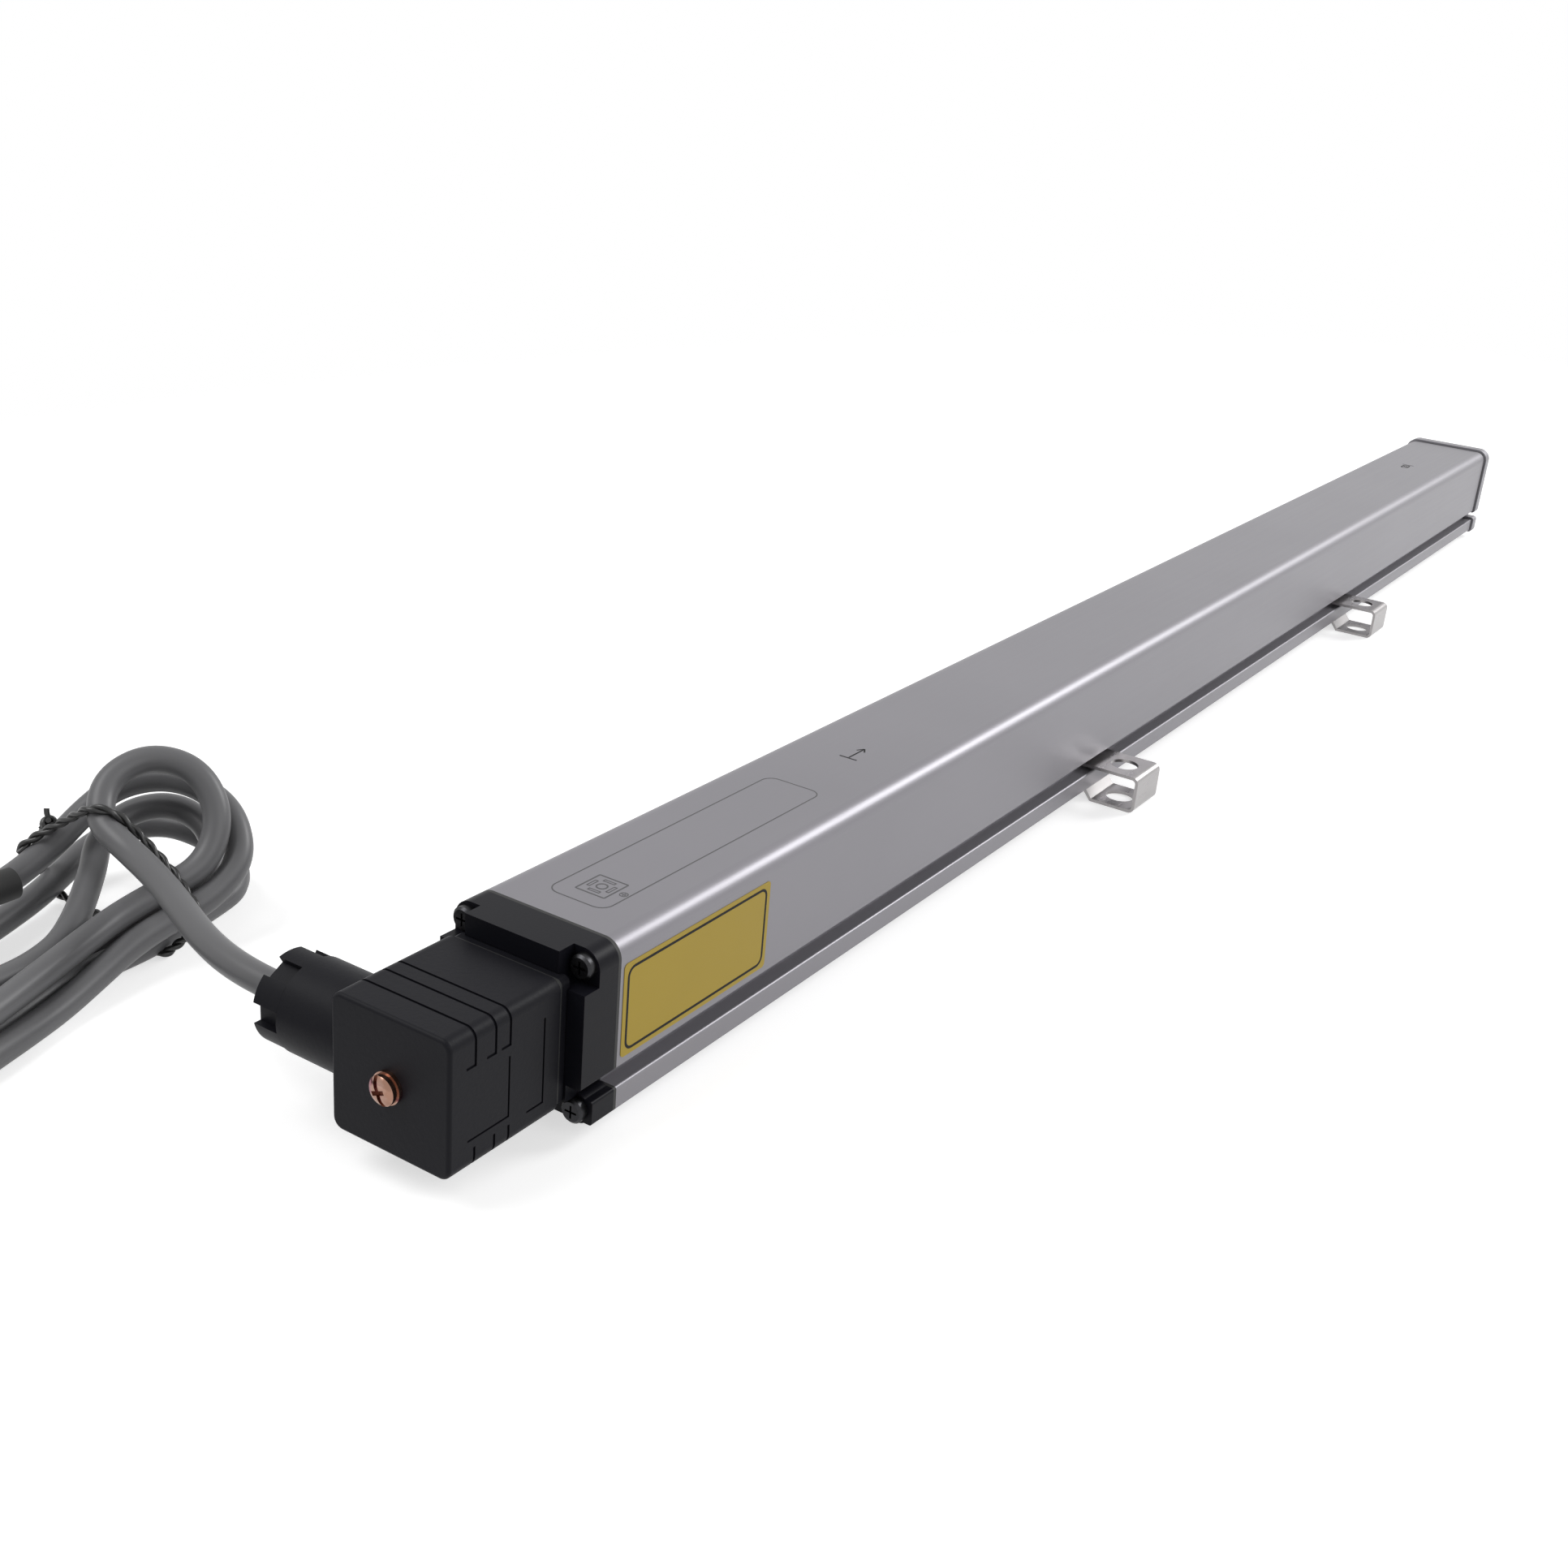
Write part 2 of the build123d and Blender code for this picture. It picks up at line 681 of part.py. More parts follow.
def hank_body(shrink):
    with BuildPart() as body:
        with BuildSketch(Plane.XY):
            run_end_x = loop_start_x + hank_run_width / 2
            with Locations(((hank_start_x + run_end_x) / 2, hank_run_middle_y)):
                SlotOverall(run_end_x - hank_start_x - 2 * shrink, hank_run_width - 2 * shrink)
            with Locations((hank_end_x - hank_loop_length / 2, hank_loop_middle_y)):
                RectangleRounded(
                    hank_loop_length - 2 * shrink,
                    hank_loop_width - 2 * shrink,
                    hank_loop_corner - shrink,
                )
        extrude(amount=hank_loop_height)
        with BuildSketch(Plane.XZ.offset(-hank_run_middle_y)) as side_view:
            with BuildLine():
                Polyline(
                    (hank_start_x - hank_run_width, shrink),
                    (hank_end_x + 1, shrink),
                    (hank_end_x + 1, hank_loop_height - shrink),
                    (loop_start_x, hank_loop_height - shrink),
                    (slope_start_x, hank_run_height - shrink),
                    (hank_start_x - hank_run_width, hank_run_height - shrink),
                    close=True,
                )
            make_face()
            fillet(side_view.vertices().group_by(Axis.Y)[-1], hank_top_radius)
        extrude(amount=2 * hank_loop_width, both=True, mode=Mode.INTERSECT)
    return body


band_plane = Plane.YZ.offset(tie_x - tie_width / 2)
whole_hank = hank_body(0).part
slim_hank = hank_body(tie_thickness).part
with BuildPart() as hank_tie:
    with BuildSketch(band_plane):
        with Locations((hank_run_middle_y, hank_loop_height / 2)):
            Rectangle(2 * hank_run_width, 2 * hank_loop_height)
    extrude(amount=tie_width)
    add(whole_hank, mode=Mode.INTERSECT)
    add(slim_hank, mode=Mode.SUBTRACT)
finish(hank_tie, "hank_tie")

with BuildPart() as cable_hank:
    add(whole_hank)
    add(hank_tie.part, mode=Mode.SUBTRACT)
finish(cable_hank, "cable_hank")


# Free end of the cable: shrink sleeve and stripped leads beside the hank
end_x = slope_start_x + hank_slope_length / 2
end_y = hank_run_middle_y + hank_run_width / 2 + sleeve_radius + sleeve_gap
with BuildPart() as end_sleeve:
    with BuildSketch(Plane.YZ.offset(end_x)):
        with Locations((end_y, sleeve_height)):
            Circle(sleeve_radius)
    extrude(amount=-sleeve_length)
finish(end_sleeve, "end_sleeve")

for index in range(lead_count):
    angle = (2 * index + 1) * pi / lead_count
    with BuildPart() as lead:
        with BuildSketch(Plane.YZ.offset(end_x - sleeve_length)):
            with Locations((end_y + lead_ring * cos(angle), sleeve_height + lead_ring * sin(angle))):
                Circle(lead_radius)
        extrude(amount=-lead_length)
    finish(lead, f"lead_{index + 1}")


# Sensing element in the upper chamber
carrier_start_x = near_x + board_from_end
carrier_end_x = far_x - board_from_end
coil_start_x = carrier_start_x + coil_from_carrier_end
tube_start_x = coil_start_x + coil_length + 2 * bobbin_flange
damping_start_x = carrier_end_x - damping_length
pocket_length = tube_start_x - carrier_start_x
with BuildPart() as element_carrier:
    with BuildSketch(Plane.YZ.offset(carrier_start_x)):
        with Locations((0, element_z)):
            Rectangle(upper_chamber_width - 2 * carrier_gap, upper_chamber_height - 2 * carrier_gap)
            Circle(tube_radius + carrier_gap, mode=Mode.SUBTRACT)
        with Locations((0, element_z - return_drop)):
            Circle(return_radius + carrier_gap, mode=Mode.SUBTRACT)
    extrude(amount=carrier_end_x - carrier_start_x)
    with BuildSketch(Plane.YZ.offset(carrier_start_x)):
        with Locations((0, element_z)):
            Rectangle(2 * (bobbin_radius + bobbin_gap), upper_chamber_height)
    extrude(amount=pocket_length, mode=Mode.SUBTRACT)
finish(element_carrier, "element_carrier")


def rod(start_x, end_x, z, outer_radius, inner_radius=0.0):
    with BuildPart() as bar:
        with BuildSketch(Plane.YZ.offset(start_x)):
            with Locations((0, z)):
                Circle(outer_radius)
                if inner_radius:
                    Circle(inner_radius, mode=Mode.SUBTRACT)
        extrude(amount=end_x - start_x)
    return bar


tube_bore = tube_radius - tube_wall
finish(rod(tube_start_x, carrier_end_x, element_z, tube_radius, tube_bore), "waveguide_tube")
finish(rod(coil_start_x - wire_tail, carrier_end_x, element_z, wire_radius), "waveguide_wire")
finish(rod(tube_start_x, carrier_end_x, element_z - return_drop, return_radius), "return_wire")
damping = rod(damping_start_x, carrier_end_x, element_z, tube_bore, wire_radius)
finish(damping, "damping_sleeve")

with BuildPart() as coil_bobbin:
    for flange_x in (coil_start_x, coil_start_x + coil_length + bobbin_flange):
        with BuildSketch(Plane.YZ.offset(flange_x)):
            with Locations((0, element_z)):
                Circle(bobbin_radius)
                Circle(wire_radius + inner_gap, mode=Mode.SUBTRACT)
        extrude(amount=bobbin_flange)
    with BuildSketch(Plane.YZ.offset(coil_start_x)):
        with Locations((0, element_z)):
            Circle(tube_bore)
            Circle(wire_radius + inner_gap, mode=Mode.SUBTRACT)
    extrude(amount=coil_length + 2 * bobbin_flange)
finish(coil_bobbin, "coil_bobbin")
winding_start_x = coil_start_x + bobbin_flange
winding_end_x = winding_start_x + coil_length
finish(rod(winding_start_x, winding_end_x, element_z, coil_radius, tube_bore), "pickup_coil")

with BuildPart() as bias_magnet:
    with BuildSketch(Plane.XY.offset(ledge_z + carrier_gap)):
        with Locations((coil_start_x - magnet_size / 2 - magnet_gap, 0)):
            Rectangle(magnet_size, magnet_size)
    extrude(amount=magnet_size - 1)
finish(bias_magnet, "bias_magnet")


# Circuit board in the slots of the lower chamber, with its parts
board_start_x = near_x + board_from_end
board_width = lower_chamber_width + 2 * board_slot_depth - 2 * inner_gap
with BuildPart() as circuit_board:
    with BuildSketch(Plane.XY.offset(board_z)):
        with Locations((board_start_x + board_length / 2, 0)):
            Rectangle(board_length, board_width)
    extrude(amount=board_thickness)
finish(circuit_board, "circuit_board")

chip_places = [
    ("processor_chip", 0.28, 0.0, 10.0, 10.0),
    ("driver_chip", 0.52, -3.0, 8.0, 6.0),
    ("output_chip", 0.70, 4.0, 8.0, 6.0),
    ("supply_block", 0.87, 0.0, 12.0, 14.0),
]
for name, along, across, long, wide in chip_places:
    with BuildPart() as chip:
        with BuildSketch(Plane.XY.offset(board_z + board_thickness)):
            with Locations((board_start_x + along * board_length, across)):
                Rectangle(long, wide)
        extrude(amount=chip_height)
    finish(chip, name)


# Bare label on the right hand side of the housing
with BuildPart() as side_label:
    with BuildSketch(Plane.XZ.offset(body_width / 2)):
        label_z = (top_z - body_corner + side_bottom_z + profile_edge) / 2
        with Locations((near_x + label_from_end + label_length / 2, label_z)):
            RectangleRounded(label_length, label_height, label_corner)
    extrude(amount=label_thickness)
finish(side_label, "side_label")
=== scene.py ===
# %% [markdown]
# # A linear position sensor, dressed and lit
# The sensor is a long aluminium profile with a moulded cap, a square plug and a cable.
# Its rigid pieces come as finished solids. This script loads them, gives each one its
# finish, lays the cable as one smooth curve, and adds the printed and engraved marks.
# Places on the sensor are written in millimetres and scaled once, where a shape is made.
# The floor and the lamps are in metres.

# %% Load the frame
from math import atan2, cos, hypot, radians, sin

import bpy
from mathutils import Euler, Matrix, Vector


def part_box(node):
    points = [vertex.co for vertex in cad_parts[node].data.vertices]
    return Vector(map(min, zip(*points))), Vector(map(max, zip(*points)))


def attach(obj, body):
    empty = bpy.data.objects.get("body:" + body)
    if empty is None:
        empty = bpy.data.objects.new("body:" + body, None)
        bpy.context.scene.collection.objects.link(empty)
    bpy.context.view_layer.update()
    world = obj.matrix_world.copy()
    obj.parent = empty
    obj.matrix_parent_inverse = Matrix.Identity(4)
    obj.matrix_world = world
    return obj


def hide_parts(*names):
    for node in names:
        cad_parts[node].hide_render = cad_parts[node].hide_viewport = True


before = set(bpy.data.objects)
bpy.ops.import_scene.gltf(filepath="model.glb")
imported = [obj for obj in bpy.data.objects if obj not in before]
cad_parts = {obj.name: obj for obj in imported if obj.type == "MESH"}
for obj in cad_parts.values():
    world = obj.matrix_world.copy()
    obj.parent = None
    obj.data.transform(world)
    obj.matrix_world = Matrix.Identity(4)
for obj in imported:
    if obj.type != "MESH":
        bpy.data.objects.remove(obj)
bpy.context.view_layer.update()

millimetre = 0.001
print("solids loaded:", len(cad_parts))

# %% [markdown]
# ## Small helpers
# An operator acts on all that is selected, and the loaded solids still are, so each step
# first clears the selection. A finished piece keeps its place in its mesh, with its
# object at the origin, because that is how the solids come.


# %% Helpers for selection and finished pieces
def clear_selection():
    if bpy.context.object and bpy.context.object.mode != "OBJECT":
        bpy.ops.object.mode_set(mode="OBJECT")
    bpy.ops.object.select_all(action="DESELECT")


def pick(piece):
    clear_selection()
    piece.select_set(True)
    bpy.context.view_layer.objects.active = piece


def settle(piece):
    pick(piece)
    bpy.ops.object.transform_apply(location=True, rotation=True, scale=True)


def apply_all(piece):
    pick(piece)
    for modifier in list(piece.modifiers):
        bpy.ops.object.modifier_apply(modifier=modifier.name)


clear_selection()
print("still selected:", len(bpy.context.selected_objects))

# %% [markdown]
# ## Shader maths as plain expressions
# A finish is a small graph of nodes, which could be wired by hand in the shader editor.
# In a script that soon gets hard to read. So one class wraps a socket, and a mask can be
# written as it would be on paper, such as 1 - seen. One method makes every other node.


# %% The shader socket
class Socket:
    """One output of a node. Sums and products of sockets add their own Math nodes."""

    def __init__(self, graph, socket):
        self.graph = graph
        self.socket = socket

    def maths(self, operation, other, flip=False):
        pair = [other, self] if flip else [self, other]
        settings = {"operation": operation}
        return self.graph.node("ShaderNodeMath", settings, {0: pair[0], 1: pair[1]})

    def __add__(self, other):
        return self.maths("ADD", other)

    def __radd__(self, other):
        return self.maths("ADD", other, flip=True)

    def __sub__(self, other):
        return self.maths("SUBTRACT", other)

    def __rsub__(self, other):
        return self.maths("SUBTRACT", other, flip=True)

    def __mul__(self, other):
        return self.maths("MULTIPLY", other)

    def __rmul__(self, other):
        return self.maths("MULTIPLY", other, flip=True)

    def either(self, other):
        return self.maths("MAXIMUM", other)


def colour(red, green, blue):
    return (red, green, blue, 1.0)


# %% The graph of one finish
class Graph:
    """The node tree of a material or of the surround, with its shader at hand."""

    def __init__(self, owner, shader="Principled BSDF"):
        owner.use_nodes = True
        self.owner = owner
        self.tree = owner.node_tree
        self.shader = self.tree.nodes[shader]

    def join(self, value, target):
        if isinstance(value, Socket):
            self.tree.links.new(value.socket, target)
        else:
            target.default_value = value

    def node(self, kind, settings=None, inputs=None, out=0):
        made = self.tree.nodes.new(kind)
        for key, value in (settings or {}).items():
            if key == "stops":
                self.set_stops(made.color_ramp, value)
            else:
                setattr(made, key, value)
        for key, value in (inputs or {}).items():
            self.join(value, made.inputs[key])
        return Socket(self, made.outputs[out])

    def set_stops(self, ramp, stops):
        while len(ramp.elements) < len(stops):
            ramp.elements.new(0.5)
        for element, (position, shade) in zip(ramp.elements, stops):
            element.position = position
            element.color = shade

    def feed(self, name, value):
        self.join(value, self.shader.inputs[name])

    def noise(self, scale, detail=4.0, roughness=0.5, stretch=(1, 1, 1)):
        place = self.node("ShaderNodeTexCoord", out="Object")
        spot = self.node("ShaderNodeMapping", {}, {"Vector": place, "Scale": stretch})
        inputs = {"Vector": spot, "Scale": scale, "Detail": detail, "Roughness": roughness}
        return self.node("ShaderNodeTexNoise", {}, inputs)

    def mix_colours(self, factor, first, second):
        """A Mix node has its colour sockets at 6 and 7, and its colour result at 2."""
        inputs = {0: factor, 6: colour(*first), 7: colour(*second)}
        return self.node("ShaderNodeMix", {"data_type": "RGBA"}, inputs, out=2)

    def bump(self, height, strength, distance):
        inputs = {"Height": height, "Strength": strength, "Distance": distance}
        self.feed("Normal", self.node("ShaderNodeBump", {}, inputs))


def new_finish(name):
    return Graph(bpy.data.materials.new(name))


# %% [markdown]
# ## Metal finishes
# The housing is anodised aluminium: satin, a little purple grey, with fine lines along
# the extrusion. One flat grey would look like plastic, so stretched noise gives the lines
# and a slow noise the cloudy tone. The clips and screws are rolled or turned steel, whose
# lines are shorter and whose gloss is higher.


# %% Anodised aluminium
def anodised_finish():
    graph = new_finish("anodised_grey")
    lines = graph.noise(900.0, detail=3.0, roughness=0.6, stretch=(0.02, 1, 1))
    clouds = graph.noise(18.0, detail=3.0)
    tone = lines * 0.35 + clouds * 0.65
    shades = graph.mix_colours(tone, (0.208, 0.202, 0.220), (0.258, 0.250, 0.272))
    graph.feed("Base Color", shades)
    graph.feed("Metallic", 0.55)
    graph.feed("Roughness", lines * 0.10 + 0.36)
    graph.bump(lines, strength=0.06, distance=0.0002)
    return graph.owner


anodised = anodised_finish()
print("housing finish:", anodised.name)


# %% Steel and copper
def metal_finish(name, low, high, roughness):
    graph = new_finish(name)
    marks = graph.noise(420.0, detail=3.0, roughness=0.6, stretch=(0.15, 1, 1))
    graph.feed("Base Color", graph.mix_colours(marks, low, high))
    graph.feed("Metallic", 1.0)
    graph.feed("Roughness", marks * 0.14 + roughness)
    graph.bump(marks, strength=0.05, distance=0.0002)
    return graph.owner


clip_steel = metal_finish("clip_steel", (0.30, 0.29, 0.29), (0.40, 0.385, 0.385), 0.22)
dark_steel = metal_finish(
    "dark_screw_steel", (0.025, 0.025, 0.028), (0.055, 0.055, 0.058), 0.28
)
tin_steel = metal_finish("tinned_blade", (0.66, 0.66, 0.65), (0.76, 0.76, 0.75), 0.25)
copper = metal_finish("enamelled_copper", (0.45, 0.17, 0.07), (0.60, 0.26, 0.12), 0.3)
print("metal finishes:", clip_steel.name, dark_steel.name, tin_steel.name, copper.name)


# %% The passivated plug screw
def passivated_finish():
    graph = new_finish("yellow_passivated_steel")
    film = graph.noise(260.0, detail=2.0)
    stops = [
        (0.40, colour(0.32, 0.18, 0.13)),
        (0.50, colour(0.38, 0.24, 0.19)),
        (0.60, colour(0.27, 0.09, 0.11)),
    ]
    graph.feed("Base Color", graph.node("ShaderNodeValToRGB", {"stops": stops}, {"Fac": film}))
    graph.feed("Metallic", 1.0)
    graph.feed("Roughness", film * 0.15 + 0.14)
    return graph.owner


passivated = passivated_finish()
print("screw finish:", passivated.name)

# %% [markdown]
# ## Plastic, rubber and film finishes
# The plug and the cap are moulded in near black. The walls of such a mould are spark
# eroded, which leaves a fine grain and a dull shine on the part. A bump from fine noise
# gives that grain without a single extra face. The same recipe, with a finer or coarser
# grain, also serves for the cable's jacket, the rubber, the label and the inks.


# %% One recipe for moulded and printed surfaces
def moulded_finish(name, low, high, roughness, grain=1400.0, depth=0.05, shine=0.5):
    graph = new_finish(name)
    cloud = graph.noise(30.0, detail=2.0)
    spark = graph.noise(grain, detail=3.0, roughness=0.6)
    graph.feed("Base Color", graph.mix_colours(cloud, low, high))
    graph.feed("Roughness", cloud * 0.08 + roughness)
    graph.feed("Specular IOR Level", shine)
    graph.bump(spark, strength=depth, distance=0.0003)
    return graph.owner


def grey(level):
    return (level, level, level)


black_plastic = moulded_finish(
    "moulded_black", (0.005, 0.005, 0.007), (0.008, 0.008, 0.011), 0.44,
    grain=900.0, depth=0.12, shine=0.11,
)
cap_plastic = moulded_finish(
    "cap_black", (0.004, 0.004, 0.006), (0.007, 0.007, 0.010), 0.34, depth=0.03, shine=0.10
)
black_rubber = moulded_finish("black_rubber", grey(0.010), grey(0.018), 0.6)
tie_plastic = moulded_finish("tie_plastic", grey(0.010), grey(0.016), 0.3)
white_plastic = moulded_finish("white_plastic", (0.70, 0.70, 0.67), (0.78, 0.78, 0.75), 0.45)
board_green = moulded_finish("board_green", (0.02, 0.16, 0.06), (0.03, 0.22, 0.09), 0.3)
print("moulded finishes:", black_plastic.name, cap_plastic.name, black_rubber.name)

# %% Jacket, label and inks
jacket = moulded_finish(
    "cable_jacket", (0.112, 0.112, 0.116), (0.142, 0.142, 0.147), 0.38,
    grain=700.0, depth=0.04, shine=0.35,
)
label_yellow = moulded_finish(
    "label_yellow", (0.37, 0.260, 0.030), (0.42, 0.300, 0.040), 0.36,
    grain=2400.0, depth=0.02, shine=0.18,
)
ink_black = moulded_finish("ink_black", grey(0.008), grey(0.012), 0.5, depth=0.02, shine=0.12)
engraving = moulded_finish("engraved_line", (0.060, 0.059, 0.062), (0.080, 0.079, 0.083), 0.5)
lead_colours = {
    "lead_1": moulded_finish("lead_red", (0.40, 0.02, 0.015), (0.48, 0.03, 0.02), 0.35),
    "lead_2": moulded_finish("lead_black", grey(0.012), grey(0.02), 0.35),
    "lead_3": moulded_finish("lead_yellow", (0.60, 0.42, 0.02), (0.68, 0.48, 0.03), 0.35),
    "lead_4": moulded_finish("lead_green", (0.01, 0.18, 0.04), (0.02, 0.24, 0.05), 0.35),
}
print("jacket, label, inks and", len(lead_colours), "leads")

# %% [markdown]
# ## Dressing the solids
# Each solid already has its real shape, so it only gets a finish. A short list says which
# piece is made of what. Pieces that come in sets are told by a word in their names, which
# is shorter than a line for each, and the rest are rubber.

# %% Give every solid its finish
finishes = {
    "profile_housing": anodised,
    "far_end_cap": anodised,
    "near_end_cap": cap_plastic,
    "plug_screw": passivated,
    "plug_washer": passivated,
    "plug_shell": black_plastic,
    "gland_nut": black_plastic,
    "socket_base": black_plastic,
    "terminal_insert": black_plastic,
    "element_carrier": white_plastic,
    "coil_bobbin": white_plastic,
    "gland_washer": white_plastic,
    "circuit_board": board_green,
    "side_label": label_yellow,
    "pickup_coil": copper,
    "return_wire": copper,
    "waveguide_tube": clip_steel,
    "waveguide_wire": clip_steel,
    "bias_magnet": dark_steel,
}
finishes.update(lead_colours)
finishes_by_word = {
    "clip": clip_steel,
    "cap_screw": dark_steel,
    "blade": tin_steel,
    "chip": black_plastic,
    "block": black_plastic,
}


def finish_of(name):
    if name in finishes:
        return finishes[name]
    for word, finish in finishes_by_word.items():
        if word in name:
            return finish
    return black_rubber


for name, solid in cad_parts.items():
    if not solid.material_slots:
        solid.data.materials.append(finish_of(name))
    for place in solid.material_slots:
        place.material = finish_of(name)
print("solids dressed:", len(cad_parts))

# %% [markdown]
# ## Marks on the top face and on the label
# On the real sensor the top face is laser marked: a frame with a small drawing of the
# plug's four pins beside an earth sign, a zero mark with an arrow, and an end mark. The
# label only has a black line round it. A picture could carry all this, but thin shapes of
# their own stay sharp at any distance. Each starts as a flat plane: a vertex bevel rounds
# its corners, an inset leaves a thin band, and Solidify gives all the bands their depth.

# %% Flat frames and bars
mark_height = 0.03
corner_steps = 6


def flat_plane(middle, width, height, turn=0.0):
    clear_selection()
    spot = (middle[0] * millimetre, middle[1] * millimetre, 0)
    bpy.ops.mesh.primitive_plane_add(size=millimetre, location=spot, rotation=(0, 0, turn))
    plane = bpy.context.object
    plane.scale = (width, height, 1)
    settle(plane)
    return plane


def flat_frame(middle, width, height, corner, line):
    band = flat_plane(middle, width, height)
    bpy.ops.object.mode_set(mode="EDIT")
    bpy.ops.mesh.select_all(action="SELECT")
    bpy.ops.mesh.bevel(offset=corner * millimetre, segments=corner_steps, affect="VERTICES")
    bpy.ops.mesh.select_all(action="SELECT")
    bpy.ops.mesh.inset(thickness=line * millimetre)
    bpy.ops.mesh.delete(type="FACE")
    bpy.ops.object.mode_set(mode="OBJECT")
    return band


def flat_bar(start, end, line):
    across, up = end[0] - start[0], end[1] - start[1]
    middle = ((start[0] + end[0]) / 2, (start[1] + end[1]) / 2)
    return flat_plane(middle, hypot(across, up), line, turn=atan2(up, across))


print("marks stand", mark_height, "mm proud")


# %% Join the bands of one mark and lay them on the housing
def lay_marks(name, bands, place, finish):
    pick(bands[0])
    for band in bands[1:]:
        band.select_set(True)
    bpy.ops.object.join()
    piece = bpy.context.object
    piece.name = piece.data.name = name
    depth = piece.modifiers.new("depth", "SOLIDIFY")
    depth.thickness = mark_height * millimetre
    depth.offset = 1.0
    apply_all(piece)
    piece.matrix_world = place
    settle(piece)
    piece.data.materials.append(finish)
    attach(piece, "housing")
    print(name, "has", len(piece.data.polygons), "faces")


# %% Engraved frame and pin drawing
housing_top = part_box("profile_housing")[1][2]
top_place = Matrix.Translation((0, 0, housing_top))
pins_x, pins_y = -328.6, -0.4
pin_long, pin_short, pin_line = 3.0, 0.9, 0.22
earth_y = -5.9
earth_line = 0.2
top_bands = [
    flat_frame((-296.9, 0), 79.9, 14.8, corner=3.0, line=0.28),
    flat_frame((pins_x, pins_y), 8.2, 7.6, corner=0.4, line=0.35),
    flat_frame((pins_x, pins_y), 2.6, 2.6, corner=1.25, line=0.35),
    flat_frame((pins_x, earth_y), 1.9, 1.9, corner=0.9, line=0.22),
    flat_bar((pins_x, earth_y + 0.6), (pins_x, earth_y), earth_line),
    flat_bar((pins_x - 0.5, earth_y - 0.05), (pins_x + 0.5, earth_y - 0.05), earth_line),
    flat_bar((pins_x - 0.3, earth_y - 0.4), (pins_x + 0.3, earth_y - 0.4), earth_line),
]
for side in (-1, 1):
    across = (pins_x + side * 2.5, pins_y)
    along = (pins_x, pins_y + side * 2.4)
    top_bands.append(flat_frame(across, pin_short, pin_long, corner=0.1, line=pin_line))
    top_bands.append(flat_frame(along, pin_long, pin_short, corner=0.1, line=pin_line))
lay_marks("top_frame_marks", top_bands, top_place, engraving)

# %% Zero mark, arrow and end mark
zero_x, end_x = -234.0, 249.6
arrow_y = -0.2
arrow_tip = (zero_x + 7.7, arrow_y)
end_ring = (end_x - 4.2, 1.0)
stroke_bands = [
    flat_bar((zero_x, -2.6), (zero_x, 2.2), 0.45),
    flat_bar((zero_x + 0.4, arrow_y), (zero_x + 7.5, arrow_y), 0.4),
    flat_bar(arrow_tip, (zero_x + 5.8, arrow_y + 1.1), 0.4),
    flat_bar(arrow_tip, (zero_x + 5.8, arrow_y - 1.1), 0.4),
    flat_bar((end_x, -1.4), (end_x, 3.4), 0.6),
    flat_frame(end_ring, 6.4, 3.2, corner=1.5, line=0.6),
    flat_frame(end_ring, 2.2, 1.6, corner=0.7, line=0.5),
]
lay_marks("stroke_marks", stroke_bands, top_place, ink_black)
print("zero mark to end mark:", round(end_x - zero_x, 1), "mm")

# %% Line round the label
label_low, label_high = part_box("side_label")
label_middle = (Vector(label_low) + Vector(label_high)) / 2
line_width = (label_high[0] - label_low[0]) / millimetre - 2.2
line_height = (label_high[2] - label_low[2]) / millimetre - 2.0
label_turn = Matrix.Rotation(radians(90), 4, "X")
label_face = Matrix.Translation((label_middle.x, label_low[1], label_middle.z))
label_bands = [flat_frame((0, 0), line_width, line_height, corner=2.2, line=0.6)]
lay_marks("label_line", label_bands, label_face @ label_turn, ink_black)
print("label line", round(line_width, 1), "by", round(line_height, 1), "mm")

# %% [markdown]
# ## The cable
# One cable leaves the gland and is folded back and forth into a hank of seven strands,
# with four loops at the end near the plug: the first stands up, the others lie lower
# behind it. It could be swept piece by piece, but a cable has no joints, so it is a
# single smooth curve. The points below are its control points, set to follow the strands
# and to keep them from cutting through each other, and the curve rounds each corner.

